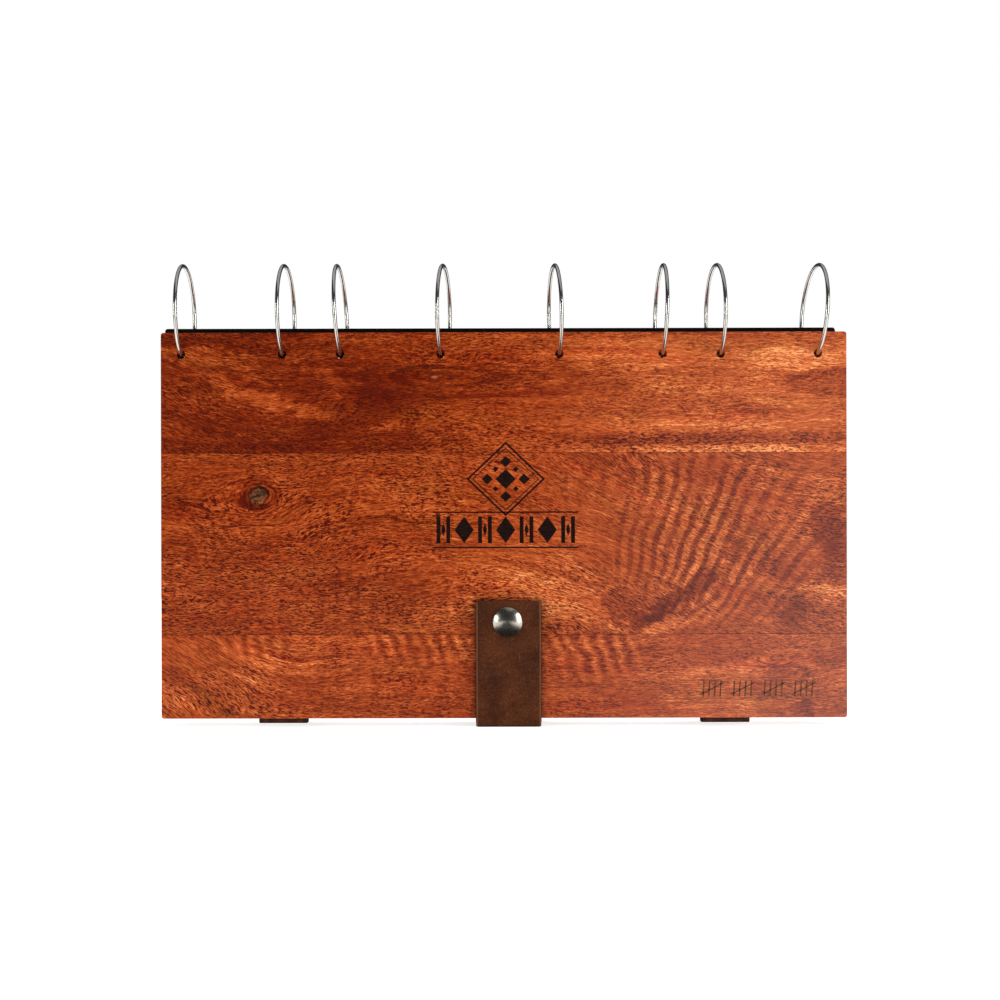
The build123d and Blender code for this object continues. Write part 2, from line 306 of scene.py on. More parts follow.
        # single growth lines that stand out
        th = g.noise(g.comb(x * (1 / 240) + seed, y * 0.05, v * (1 / size)), 1, 0.5)
        d = g.f("ABSOLUTE", th - 0.5 + (fine - 0.5) * 0.02)
        t = t + g.ss(d, 0.034, 0.004) * g.blob(cx, cz, rx, rz) * g.ss(blot, 0.36, 0.52, 0.4, 1.0) * amount
    keep = g.z
    g.z = z + (n1 - 0.5) * 5.0 + (n2 - 0.5) * 1.6 + (fib - 0.5) * 0.8
    for cx, cz, rx, rz, angle, amount in streaks:
        t = t + g.blob(cx, cz, rx, rz, angle) * (0.45 + band * 0.5 + fib * 0.5) * amount
    g.z = keep
    for cx, cz, lft, rgt, rz, amount in wedges:
        dx = x - cx + (n2 - 0.5) * 12.0
        dx = g.f("MAXIMUM", dx, 0.0) * (1 / rgt) + g.f("MINIMUM", dx, 0.0) * (1 / lft)
        dz = (z - cz + (n2 - 0.5) * 4.0 + (n3 - 0.5) * 1.6) * (1 / rz)
        d2 = dx * dx + dz * dz
        t = t + (g.ss(d2, 1.15, 0.72) * 0.7 + g.ss(d2, 1.25, 1.0) * g.ss(d2, 0.7, 0.95) * 0.6) * amount
    for sx, sz, lft, rgt, rz in eyes:
        dx = x - sx + (n3 - 0.5) * 4.0
        dx = g.f("MAXIMUM", dx, 0.0) * (1 / rgt) + g.f("MINIMUM", dx, 0.0) * (1 / lft)
        dz = (z - sz + (n2 - 0.5) * 3.0) * (1 / rz)
        d = g.f("SQRT", dx * dx + dz * dz) + (n2 - 0.5) * 0.22 + (fib - 0.5) * 0.06
        lines = g.noise(g.comb(d * 7.5, seed, x * 0.006), 3, 0.6) - 0.5
        t = t + lines * g.ss(d, 1.1, 0.45) * 0.75
    for kx, kz, r, stretch in knots:
        dx, dz = (x - kx) * (1 / 1.15), z - kz
        d = g.f("SQRT", dx * dx + dz * dz) + (n2 - 0.5) * 4.0 + (n3 - 0.5) * 1.6
        rings = g.noise(g.comb(d * 0.62, seed, (x + z) * 0.02), 3, 0.65) - 0.5
        t = t + rings * g.ss(d, r * 1.7, r * 0.8) * 0.95 - g.ss(d, r * 1.15, r * 0.5) * 0.13
    # pores: short dark strokes along the grain, denser in patches
    p1 = g.noise(g.comb(x * (1 / 1.9), y * (1 / 0.40), v * (1 / 0.42) + seed), 1.0, 0.5, 0.2)
    p2 = g.noise(g.comb(x * (1 / 3.8) + 5, y * (1 / 0.6), v * (1 / 0.60)), 1.5, 0.5, 0.3)
    dens = g.ss(g.noise(g.comb(x * (1 / 34) + seed, y * 0.05, z * (1 / 21)), 2, 0.6), 0.32, 0.62, 0.3, 1.0)
    dens = dens * (poretone[0] + g.ss(x, -172.0, 172.0) * (poretone[1] - poretone[0]))
    for cx, cz, rx, rz, amount in pores_at:
        dens = dens + patch(cx, cz, rx, rz) * amount
    pores = g.f("MAXIMUM", g.ss(p1, 0.545, 0.60), g.ss(p2, 0.575, 0.625) * 0.9)
    pores = g.f("MULTIPLY", pores, dens, clamp=True)
    t = t - pores * 0.52 + dens * 0.11
    col = g.ramp(g.f("MULTIPLY", t, 1.0, clamp=True), WOOD)
    # streaks that lean to red and streaks that lean to brown
    hue = g.noise(g.comb(x * (1 / 55) + 11.0, y * (1 / 25), v * (1 / 8) + seed), 3, 0.6)
    col = g.mixc(g.ss(hue, 0.50, 0.72) * 0.5, col, g.mixc(1.0, col, (250, 200, 150), "MULTIPLY"))
    col = g.mixc(g.ss(hue, 0.47, 0.27) * 0.55, col, g.mixc(1.0, col, (232, 254, 210), "MULTIPLY"))
    # painted sheen: a whitish haze towards the right end and the bottom, standing in for the sheen of the light from
    # the right
    col = g.mixc(g.ss(x, -20.0, 170.0) * (0.078 - z * 0.00028) + g.ss(z, 120.0, 10.0) * 0.010, col, (200, 196, 196))
    rough = 0.44 + (fib - 0.5) * 0.25 + pores * 0.2
    height = fib * 0.35 + fine * 0.3 - pores * 1.0
    for kx, kz, r, stretch in knots:
        ux, uz = x - kx, z - kz
        dx, dz = ux * 0.90 + uz * 0.42, uz * 0.86 - ux * 0.46
        dn = (g.noise(g.comb(x * 0.34, y * 0.5, z * 0.34 + seed), 3, 0.6) - 0.5)
        d = g.f("SQRT", dx * dx * 0.72 + dz * dz * 1.15) + dn * 5.0
        core = g.ss(d, r * 0.44, r * 0.32)
        rim = g.ss(d, r * 0.60, r * 0.46) * (1.0 - g.ss(d, r * 0.46, r * 0.36) * 0.85)
        crack = g.ss(g.f("ABSOLUTE", dz - dn * 4.0 - 0.4), 0.42, 0.12) * g.ss(d, r * 0.52, r * 0.30)
        fill = g.mixc(g.ss(g.noise(g.comb(x * 0.5, y, z * 0.9), 3, 0.7), 0.38, 0.64), (108, 76, 46), (50, 26, 12))
        col = g.mixc(core * 0.9, col, fill)
        col = g.mixc(g.f("MAXIMUM", rim * 0.8, crack * 0.85), col, (30, 10, 3))
        height = height - core * 2.0 - rim * 4.0 - crack * 3.0
        rough = rough + core * 0.2
    for sx, sz, lft, rgt, rz in eyes:
        if lft < 45.0:
            continue
        ux, uz = x - sx, (z - sz) * 1.8
        d = g.f("SQRT", ux * ux + uz * uz) + (n3 - 0.5) * 5.0
        dot = g.ss(g.f("ABSOLUTE", d - 3.0), 1.3, 0.4)
        col = g.mixc(dot * 0.45, col, (92, 30, 14))
        col = g.mixc(g.ss(d, 2.4, 0.8) * 0.35, col, (196, 120, 84))
    for gz in glue:
        d = g.f("ABSOLUTE", z - gz + (fine - 0.5) * 0.16)
        line = g.ss(d, 0.30, 0.04)
        col = g.mixc(line * 0.6, col, (50, 14, 3))
        height = height - line * 2.0
    if strap_shade is not None:
        # painted shade: a soft dark outline round the strap's front run, standing in for the shadow the strap casts on
        # the wood, fading inward under the strap
        pcx, phw, ptop = strap_shade
        ex, ez = g.f("ABSOLUTE", x - pcx) - phw, z - ptop
        ox, oz = g.f("MAXIMUM", ex, 0.0), g.f("MAXIMUM", ez, 0.0)
        under = g.f("MAXIMUM", 0.0 - g.f("MAXIMUM", ex, ez), 0.0)
        d = g.f("SQRT", ox * ox + oz * oz * 1.8) + under * 0.8 + (n3 - 0.5) * 0.6
        col = g.mixc(g.ss(d, 3.8, 0.0) * 0.40 + g.ss(d, 1.3, 0.1) * 0.24, col, (44, 12, 3))
    if black_inside is not None:
        # the inner face is made near-black
        side, level = black_inside
        inside = g.ss(y * side + (fib - 0.5) * 0.3, level * side - 1.25, level * side - 1.0)
        black = g.mixc(g.ss(fib, 0.3, 0.7), (5, 3, 3), (16, 11, 9))
        col = g.mixc(inside, col, black)
        rough = rough + inside * 0.12
    g.set(Base_Color=col, Roughness=g.f("MULTIPLY", rough, 1.0, clamp=True),
          Normal=g.bump(height, 0.05, 0.8))
    g.b.inputs["Specular IOR Level"].default_value = 0.07
    return g.m


FY0, FY1 = (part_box("front_cover_top_stave")[i][1] * 1000 for i in (0, 1))
RY0, RY1 = (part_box("rear_cover_top_stave")[i][1] * 1000 for i in (0, 1))
ZL, ZH = (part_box("front_cover_middle_stave")[i][2] * 1000 for i in (0, 1))

# On the front top and middle staves the tone that rises to the right is partly the wood's own colour and partly painted
# light, standing in for the light from the right. On the top stave the low tone at the left end and the dark stain
# along the top edge at the left (-150, 196) are painted shade, where the light falls off towards the top left.
wood_f_top = wood(
    "wood_front_top", 3.7, tone=(0.29, 0.67), glue=(ZH,),
    eyes=[(-34.5, 178.7, 50.0, 102.0, 14.0)],
    slopes=[(-180, -90, 20.0, 0.3)],
    wedges=[(-34.5, 176.0, 60.0, 100.0, 8.5, -0.10), (203.0, 175.5, 58.0, 50.0, 8.5, -0.26)],
    stains=[(-60, 173, 22, 13, 20, -0.26), (-72, 158, 38, 9, 12, -0.24), (-45, 145, 40, 6, 0, -0.20),
            (-115, 142.0, 66, 3.6, 0, -0.24), (-148, 188, 34, 6, -8, 0.22), (-124, 170, 46, 5, -18, 0.22),
            (-88, 178, 8, 12, 0, 0.20), (-150, 196, 40, 4, 0, -0.18), (-156, 172, 14, 5, 0, -0.16),
            (-60, 153, 12, 6, 20, 0.20), (-92, 156, 16, 12, 60, -0.16),
            (60, 190, 70, 7, -4, 0.10), (100, 166, 60, 6, -6, -0.10), (150, 187, 34, 6, 0, 0.14)],
    streaks=[(112, 147.0, 100, 4.2, 0.6, -0.24), (112, 141.6, 110, 3.4, 0, 0.13), (96, 155, 80, 3.0, -1.5, 0.12),
             (120, 161, 60, 2.2, 1.0, -0.10), (70, 193, 90, 3.0, 0.5, -0.10), (130, 193, 60, 3.0, -1, 0.10)],
    figures=[(-104, 172, 40, 22, 68, 8.0, 0.07)],
    threads=[(-130, 172, 60, 34, 3.2, -0.14), (110, 174, 90, 30, 4.0, 0.10)],
    poretone=(0.9, 0.6), pores_at=[(96, 144, 110, 8, 0.8), (-60, 160, 40, 18, 0.3)],
    black_inside=(1, FY1),
)
wood_f_mid = wood(
    "wood_front_middle", 11.2, tone=(0.445, 0.55), glue=(ZL, ZH),
    knots=[(-124.4, 118.2, 10.0, 1.2)],
    slopes=[(-10, 175, 66.0, 0.3)],
    dips=[(-122, 92, 66, 34, 5.0), (-50, 116, 70, 34, -4.5)],
    fans=[(50.4, -37.6, 2.7, 112, 98, 74, 60, 0.20, 0.6), (68.0, 34.0, 7.0, 98, 70, 26, 24, 0.16, 0.8)],
    figures=[(60, 128, 50, 16, 72, 9.0, 0.14), (-60, 62, 90, 14, 84, 9.0, 0.07), (-160, 80, 30, 40, 86, 11.0, 0.06)],
    stains=[(62, 60, 9, 14, -10, -0.22), (94, 68, 26, 7, 38, -0.33), (78, 56, 17, 5, 28, -0.32),
            (100, 52, 34, 7, -6, -0.12), (150, 58, 15, 9, -35, -0.28), (168, 96, 13, 20, 0, -0.34), (132, 84, 30, 5, -28, -0.16),
            (120, 90, 40, 34, 0, -0.04), (88, 51.5, 22, 4, 14, 0.22), (62, 50, 14, 3, 0, 0.18),
            (164, 70, 20, 5, 0, 0.16), (26, 66, 34, 14, -20, 0.10), (4, 90, 52, 22, -6, 0.09),
            (-158, 118, 22, 14, 0, -0.10), (-150, 60, 44, 12, 6, -0.10), (-108, 86, 50, 14, 6, -0.10),
            (-40, 84, 50, 12, -4, 0.08), (-130, 62, 30, 8, 0, 0.08), (-120, 134, 60, 5, 0, -0.08)],
    threads=[(64, 100, 66, 48, 5.0, 0.17), (-50, 100, 96, 30, 3.6, -0.14), (-120, 112, 60, 30, 3.0, -0.16),
             (-70, 66, 110, 16, 3.2, -0.16)],
    # the next argument paints shade round the strap's outline on this stave
    strap_shade=(3.0, 16.2, 64.3),
    poretone=(1.0, 0.92), pores_at=[(-130, 70, 60, 32, 0.4), (-20, 60, 40, 14, 0.5), (30, 58, 22, 12, 0.6)],
    black_inside=(1, FY1),
)
wood_f_bot = wood(
    "wood_front_bottom", 23.9, tone=(0.55, 0.54), glue=(ZL,), eyes=[(139, 26, 30, 34, 11.0)],
    slopes=[(-196, -84, 40.0, -0.2)],
    figures=[(-42, 42, 38, 13, 112, 6.6, 0.34), (46, 38, 34, 19, 110, 7.2, 0.30), (-134, 42, 40, 10, 96, 7.0, 0.16),
             (-40, 24, 80, 16, 84, 9.0, 0.07)],
    stains=[(-132, 36, 44, 9, -8, 0.11), (-150, 16, 34, 8, -30, -0.20), (-90, 12, 40, 5, -8, -0.12),
            (-30, 8, 70, 4, 0, -0.12), (100, 38, 60, 7, 0, -0.10), (120, 30, 40, 6, 8, 0.16),
            (148, 26, 22, 4, 12, -0.16), (154, 11, 11, 3, 38, -0.30), (120, 10, 44, 5, 8, 0.12),
            (60, 12, 34, 8, 10, -0.10), (166, 36, 12, 8, 0, -0.10)],
    threads=[(-110, 28, 70, 26, 3.0, -0.16), (110, 22, 70, 24, 4.0, 0.14), (-40, 14, 60, 14, 3.0, -0.10)],
    # the next argument paints shade round the strap's outline on this stave
    strap_shade=(3.0, 16.2, 64.3),
    poretone=(0.8, 0.62), pores_at=[(-150, 18, 50, 14, 0.8)],
    black_inside=(1, FY1),
)
wood_r_top = wood("wood_rear_top", 41.3, (0.55, 0.45), glue=(ZH,), slopes=[(-120, 60, 16.0, 0.2)],
                  stains=[(60, 170, 80, 14, 5, -0.2)], black_inside=(-1, RY0))
wood_r_mid = wood("wood_rear_middle", 57.8, (0.50, 0.58), glue=(ZL, ZH), eyes=[(30.0, 96.0, 90.0, 60.0, 24.0)],
                  fans=[(-150, -30, 3.6, -100, 90, 60, 46, 0.20, 1.3)], black_inside=(-1, RY0))
wood_r_bot = wood("wood_rear_bottom", 71.5, (0.58, 0.50), glue=(ZL,),
                  figures=[(90, 30, 70, 20, 100, 7.5, 0.22)], black_inside=(-1, RY0))


def paint(node, material):
    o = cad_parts[node]
    if not o.data.materials:
        o.data.materials.append(material)
    for s in o.material_slots:
        s.link = "OBJECT"
        s.material = material


for node, m in {
    "front_cover_top_stave": wood_f_top, "front_cover_middle_stave": wood_f_mid,
    "front_cover_bottom_stave": wood_f_bot, "rear_cover_top_stave": wood_r_top,
    "rear_cover_middle_stave": wood_r_mid, "rear_cover_bottom_stave": wood_r_bot,
}.items():
    paint(node, m)


# ------------------------------------------------------------------ metal
def metal(name, colour, rough, scratch=0.12, tarnish=(150, 140, 128), grain=(0.4, 0.4, 0.4), relief=0.012):
    g = G(name)
    n = g.noise(g.comb(g.x * grain[0], g.y * grain[1], g.z * grain[2]), 4, 0.65)
    s = g.noise(g.comb(g.x * grain[0] * 9, g.y * grain[1] * 9, g.z * grain[2] * 9), 2, 0.5, 0.5)
    col = g.mixc(g.ss(n, 0.45, 0.75) * 0.35, colour, tarnish)
    g.set(Base_Color=col, Metallic=1.0, Roughness=rough + g.ss(s, 0.5, 0.75) * scratch + (n - 0.5) * 0.06,
          Normal=g.bump(n * 0.5 + s * 0.2, relief, 0.5))
    return g.m


steel_wire = metal("polished_wire", (206, 204, 198), 0.18, 0.04, relief=0.001)
nickel = metal("polished_nickel", (186, 178, 166), 0.23, 0.08, (120, 104, 84))
zinc = metal("zinc_plate", (172, 172, 168), 0.30, 0.12, (140, 136, 120), (0.8, 0.8, 0.8))
paint("snap_stud", nickel)
paint("snap_socket", nickel)
paint("strap_screws", zinc)

# ------------------------------------------------------------------ rubber
g = G("black_rubber")
n = g.noise(g.comb(g.x * 3, g.y * 3, g.z * 3), 3, 0.6)
d = g.noise(g.comb(g.x * 0.25, g.y * 0.25, g.z * 0.5), 2, 0.5)
g.set(Base_Color=g.mixc(g.ss(d, 0.4, 0.7), (40, 17, 8), (66, 32, 18)), Roughness=0.62 + n * 0.2,
      Normal=g.bump(n, 0.05, 0.8))
g.b.inputs["Specular IOR Level"].default_value = 0.15
rubber = g.m
paint("front_feet", rubber)
paint("rear_feet", rubber)

# ------------------------------------------------------------------ cards
g = G("laminated_card")
n = g.noise(g.comb(g.x * 1.1, g.y, g.z * 1.1), 3, 0.6)
fl = g.noise(g.comb(g.x * 9.0, g.y * 9.0, g.z * 2.2), 2, 0.6)
soil = g.noise(g.comb(g.x * 0.03, g.y * 0.4, g.z * 0.03), 3, 0.6)
col = g.mixc(g.ss(soil, 0.45, 0.75) * 0.35, (236, 232, 222), (226, 219, 203))
col = g.mixc(g.ss(fl, 0.55, 0.75) * 0.25, col, (205, 196, 178))
g.set(Base_Color=col, Roughness=0.42 + n * 0.16, Normal=g.bump(n * 0.6 + fl * 0.4, 0.02, 0.7))
g.b.inputs["Coat Weight"].default_value = 0.1
card_stock = g.m

g = G("printing_ink")
n = g.noise(g.comb(g.x * 4, g.y * 4, g.z * 4), 3, 0.6)
b = g.noise(g.comb(g.x * 0.15, g.y, g.z * 0.15), 2, 0.6)
g.set(Base_Color=g.mixc(g.ss(n * 0.6 + b * 0.4, 0.45, 0.65), (16, 15, 16), (30, 28, 28)), Roughness=0.62 + n * 0.15,
      Normal=g.bump(n, 0.01, 0.6))
ink = g.m


def new_mesh(name, bm, materials, smooth=None):
    me = bpy.data.meshes.new(name)
    bm.normal_update()
    bm.to_mesh(me)
    bm.free()
    for m in materials:
        me.materials.append(m)
    o = bpy.data.objects.new(name, me)
    scene.collection.objects.link(o)
    if smooth is not None:
        for p in me.polygons:
            p.use_smooth = True
        me.set_sharp_from_angle(angle=math.radians(smooth))
    return o


def numeral(name, digit, cx, cz, y, width, height, body, mat):
    """A printed numeral: a thin solid a few hundredths proud of the card."""
    cu = bpy.data.curves.new(name, "FONT")
    cu.body = str(digit)
    cu.size = 1.0
    cu.offset = 0.012
    cu.resolution_u = 6
    cu.align_x = "CENTER"
    tmp = bpy.data.objects.new(name + "_t", cu)
    scene.collection.objects.link(tmp)
    dg = bpy.context.evaluated_depsgraph_get()
    me = bpy.data.meshes.new_from_object(tmp.evaluated_get(dg))
    bpy.data.objects.remove(tmp)
    bpy.data.curves.remove(cu)
    xs = [v.co.x for v in me.vertices]
    ys = [v.co.y for v in me.vertices]
    x0, x1, y0, y1 = min(xs), max(xs), min(ys), max(ys)
    w = width * min(1.0, (x1 - x0) / 0.52)
    bm = bmesh.new()
    bm.from_mesh(me)
    bpy.data.meshes.remove(me)
    bmesh.ops.remove_doubles(bm, verts=bm.verts, dist=1e-5)
    for v in bm.verts:
        v.co = Vector(((cx + ((v.co.x - x0) / (x1 - x0) - 0.5) * w) * MM, y * MM,
                       (cz + ((v.co.y - y0) / (y1 - y0) - 0.5) * height) * MM))
    bmesh.ops.recalc_face_normals(bm, faces=bm.faces)
    flat = bm.faces[:]
    ext = bmesh.ops.extrude_face_region(bm, geom=flat)
    up = [e for e in ext["geom"] if isinstance(e, bmesh.types.BMVert)]
    bmesh.ops.translate(bm, verts=up, vec=(0, -0.05 * MM, 0))
    bmesh.ops.recalc_face_normals(bm, faces=bm.faces)
    for f in bm.faces:
        f.smooth = False
    o = new_mesh(name, bm, [mat])
    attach(o, body)
    return o


for c in ("left_tens", "left_ones", "right_tens", "right_ones"):
    for k in range(10):
        node = f"card_{c}_{k}"
        paint(node, card_stock)
        a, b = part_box(node)
        numeral(f"print_{c}_{k}", k, (a[0] + b[0]) * 500, 95.0, a[1] * 1000 + 0.01, 50.0, 132.0, node, ink)

# ------------------------------------------------------------------ burned ornament
g = G("burned_mark")
n = g.noise(g.comb(g.x * 0.5, g.y, g.z * 3.2), 3, 0.6)
m2 = g.noise(g.comb(g.x * 4, g.y * 4, g.z * 9), 2, 0.6)
g.set(Base_Color=g.mixc(g.ss(n, 0.42, 0.68), (15, 5, 3), (40, 14, 7)), Roughness=0.62 + m2 * 0.2,
      Normal=g.bump(n * 0.6 + m2 * 0.6, 0.05, 1.0))
g.b.inputs["Specular IOR Level"].default_value = 0.1
burned = g.m
g = G("lightly_burned_mark")
n = g.noise(g.comb(g.x * 0.6, g.y, g.z * 3.0), 3, 0.6)
m2 = g.noise(g.comb(g.x * 4, g.y * 4, g.z * 9), 2, 0.6)
g.set(Base_Color=g.mixc(g.ss(n, 0.36, 0.66), (66, 34, 10), (110, 62, 24)), Roughness=0.62 + m2 * 0.2,
      Normal=g.bump(n * 0.6 + m2 * 0.6, 0.05, 1.0))
burned_light = g.m

MARK_H = 0.05


def inlay(name, shapes, mat, y_face):
    """Thin charred marks on the front face. shapes: lists of (x, z) in mm; a
    pair of such lists is an outline with a hole of as many points."""
    bm = bmesh.new()
    for s in shapes:
        if isinstance(s[0][0], (tuple, list)):
            outer, inner = s
            for h in (0.02, -MARK_H):
                pass
            vo = [[bm.verts.new((px * MM, (y_face + h) * MM, pz * MM)) for px, pz in outer] for h in (0.02, -MARK_H)]
            vi = [[bm.verts.new((px * MM, (y_face + h) * MM, pz * MM)) for px, pz in inner] for h in (0.02, -MARK_H)]
            k = len(outer)
            for i in range(k):
                j = (i + 1) % k
                bm.faces.new((vo[1][i], vo[1][j], vi[1][j], vi[1][i]))
                bm.faces.new((vo[0][i], vi[0][i], vi[0][j], vo[0][j]))
                bm.faces.new((vo[0][i], vo[0][j], vo[1][j], vo[1][i]))
                bm.faces.new((vi[0][i], vi[1][i], vi[1][j], vi[0][j]))
        else:
            lo_ = [bm.verts.new((px * MM, (y_face + 0.02) * MM, pz * MM)) for px, pz in s]
            hi_ = [bm.verts.new((px * MM, (y_face - MARK_H) * MM, pz * MM)) for px, pz in s]
            bm.faces.new(hi_)
            bm.faces.new(list(reversed(lo_)))
            for i in range(len(s)):
                j = (i + 1) % len(s)
                bm.faces.new((lo_[i], lo_[j], hi_[j], hi_[i]))
    bmesh.ops.recalc_face_normals(bm, faces=bm.faces)
    o = new_mesh(name, bm, [mat])
    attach(o, "front_cover")
    return o


def diamond(cx, cz, rx, rz):
    return [(cx - rx, cz), (cx, cz - rz), (cx + rx, cz), (cx, cz + rz)]


def frame_diamond(cx, cz, rx, rz, w):
    return (diamond(cx, cz, rx, rz), diamond(cx, cz, rx - w * 1.4, rz - w * 1.4))


def bar(cx, cz, w, h, slant=0.0):
    return [(cx - w / 2 - slant, cz - h / 2), (cx + w / 2 - slant, cz - h / 2),
            (cx + w / 2 + slant, cz + h / 2), (cx - w / 2 + slant, cz + h / 2)]


OX, OZ = 1.8, 126.5
shapes = [frame_diamond(OX, OZ, 20.0, 19.0, 0.9), frame_diamond(OX, OZ, 17.0, 16.0, 0.4),
          diamond(OX, OZ, 5.2, 5.0)]
for sx, sz in ((1, 0), (-1, 0), (0, 1), (0, -1)):
    shapes.append(diamond(OX + sx * 9.4, OZ + sz * 8.9, 2.9, 2.8))
for sx, sz in ((1, 1), (-1, 1), (1, -1), (-1, -1)):
    shapes.append(diamond(OX + sx * 5.2, OZ + sz * 5.0, 1.5, 1.4))
inlay("ornament_diamond", shapes, burned, FY0)
BZ = 100.6
shapes = []
for i in range(-3, 4):
    cx = OX + i * 10.6
    if i % 2:
        shapes += [bar(cx - 2.5, BZ, 2.0, 13.6), bar(cx + 2.5, BZ, 2.0, 13.6), diamond(cx, BZ, 1.1, 3.4)]
    else:
        shapes += [diamond(cx, BZ, 4.9, 6.8)]
shapes += [bar(OX, BZ + 9.0, 74.0, 0.7), bar(OX, BZ - 9.0, 74.0, 0.7)]
inlay("ornament_band", shapes, burned, FY0)
shapes = []
for gi in range(4):
    x0 = 102.5 + gi * 15.6
    for i in range(4):
        shapes.append(bar(x0 + i * 2.9, 19.4, 0.75, 8.2, 0.25))
    shapes.append([(x0 - 1.9, 16.6), (x0 - 1.5, 16.1), (x0 + 10.6, 22.2), (x0 + 10.2, 22.7)])
inlay("tally_marks", shapes, burned_light, FY0)

# ------------------------------------------------------------------ leather strap
g = G("oiled_leather")
x, y, z = g.x, g.y, g.z
mott = g.noise(g.comb(x * 0.07, y * 0.07, z * 0.05), 4, 0.6, 0.3)
peb = g.cells(g.comb(x * 1.35, y * 1.35, z * 1.35), 1.0, "SMOOTH_F1")
peb2 = g.noise(g.comb(x * 2.6, y * 2.6, z * 2.6), 3, 0.6)
crease = g.noise(g.comb(x * 0.22, y * 0.3, z * 0.9), 4, 0.7, 0.6)
grit = g.noise(g.comb(x * 1.7, y * 1.7, z * 1.1), 2, 0.6)
scuff = g.noise(g.comb(x * 0.5, y * 0.5, z * 0.12), 4, 0.7)
ax = g.f("ABSOLUTE", x - 3.1)
# towards each long edge the face darkens, with a thin light line painted within the dark band
edge = g.ss(ax, 15.3, 16.8)
edge_line = g.ss(ax, 15.5, 16.0) * g.ss(ax, 16.55, 16.1)
col = g.ramp(0.06 + mott * 0.48 + peb2 * 0.25 + (crease - 0.3) * 0.3 + (peb - 0.45) * 0.22 + (grit - 0.5) * 0.30, [
    (0.28, (44, 18, 5)), (0.45, (66, 31, 11)), (0.60, (88, 45, 18)), (0.80, (116, 67, 33))])
col = g.mixc(g.ss(scuff, 0.58, 0.75) * 0.30, col, (118, 86, 66))
col = g.mixc(edge * 0.5, col, (34, 17, 8))
col = g.mixc(edge_line * 0.45, col, (140, 92, 62))
g.set(Base_Color=col, Roughness=0.47 + (peb2 - 0.5) * 0.3 + mott * 0.06,
      Normal=g.bump(peb * 0.55 + peb2 * 0.5 + crease * 0.5, 0.11, 0.8))
g.b.inputs["Specular IOR Level"].default_value = 0.12
leather = g.m
g = G("cut_leather_edge")
x, y, z = g.x, g.y, g.z
fibres = g.noise(g.comb(x * 2.5, y * 5.0, z * 1.0), 4, 0.7, 0.5)
g.set(Base_Color=g.mixc(g.ss(fibres, 0.38, 0.62), (40, 23, 14), (82, 54, 36)), Roughness=0.75,
      Normal=g.bump(fibres, 0.12, 1.0))
leather_edge = g.m

# Middle line of the leather in YZ, from the back's top end to the front's.
T = 2.5
R_MID = 4.0 - T / 2
BY = 15.0 - 4.0
FYC = -15.3 + 4.0
line = []


def to(p, step=1.2):
    a = line[-1]
    n_ = max(1, round(math.dist(a, p) / step))
    for i in range(1, n_ + 1):
        line.append((a[0] + (p[0] - a[0]) * i / n_, a[1] + (p[1] - a[1]) * i / n_))


def arc(cy, cz, r, a0, a1, n_=10):
    for i in range(n_ + 1):
        a = math.radians(a0 + (a1 - a0) * i / n_)
        p = (cy + r * math.cos(a), cz + r * math.sin(a))
        if not line or math.dist(line[-1], p) > 0.05:
            line.append(p)


line.append((13.75, 58.0))
to((13.75, 4.0))
arc(BY, 4.0, R_MID, 0, -90)
to((FYC, T / 2))
arc(FYC, 4.0, R_MID, -90, -180)
pts_front = [(-14.05, 6.5), (-14.3, 12.0), (-14.9, 20.0), (-15.9, 29.0), (-16.8, 37.0), (-17.12, 44.0)]
for p in pts_front:
    to(p)
to((-17.15, 64.6))
# a light smoothing of the front run's corners
for _ in range(6):
    sm = line[:]
    for i in range(len(line) - 30, len(line) - 1):
        if line[i][1] > 8:
            sm[i] = tuple((line[i - 1][k] + 2 * line[i][k] + line[i + 1][k]) / 4 for k in (0, 1))
    line = sm

rnd = random.Random(7)
W2 = 33.6 / 2
SXC = 3.1
bm = bmesh.new()
rings_v = []
NX = 34
N = len(line)
for i, (py, pz) in enumerate(line):
    a = line[max(0, i - 1)]
    b = line[min(N - 1, i + 1)]
    ty, tz = b[0] - a[0], b[1] - a[1]
    L = math.hypot(ty, tz)
    ty, tz = ty / L, tz / L
    ny, nz = tz, -ty           # towards the outside of the loop
    # walking down the back, under and up the front keeps the outside on this hand
    taper = 0.12 * math.sin(i * 0.31) + 0.07 * math.sin(i * 0.83 + 1.0)
    half = W2 + taper * 0.6 - 0.15
    section = []
    for j in range(NX + 1):    # outer face, left to right
        fx = -1 + 2 * j / NX
        xx = SXC + half * fx * (1 - 0.0 * abs(fx))
        e = min(1.0, (1 - abs(fx)) * half / 0.7)
        h = T / 2 - 0.45 * (1 - math.sqrt(max(0.0, 1 - (1 - e) ** 2)))
        h += 0.035 * math.sin(xx * 0.9 + i * 0.35) * math.sin(i * 0.21 + xx * 0.17)
        section.append((xx, h))
    for j in range(NX, -1, -1):
        fx = -1 + 2 * j / NX
        xx = SXC + half * fx
        e = min(1.0, (1 - abs(fx)) * half / 0.7)
        h = -(T / 2 - 0.30 * (1 - math.sqrt(max(0.0, 1 - (1 - e) ** 2))))
        section.append((xx, h))
    ring_v = []
    for xx, h in section:
        cut = 0.0
        if i == N - 1 or i == 0:
            # squared ends with eased corners, and a small nick in the front one
            d = abs(xx - SXC) - (half - 0.5)
            cut = -(0.5 - math.sqrt(max(0.0, 0.25 - d * d))) if d > 0 else 0.0
            cut = -cut if i == 0 else cut
            if i == N - 1:
                cut -= 0.55 * math.exp(-((xx - 4.9) / 0.8) ** 2)
        ring_v.append(bm.verts.new((xx * MM, (py + ny * h + ty * cut) * MM, (pz + nz * h + tz * cut) * MM)))
    rings_v.append(ring_v)
K = len(rings_v[0])
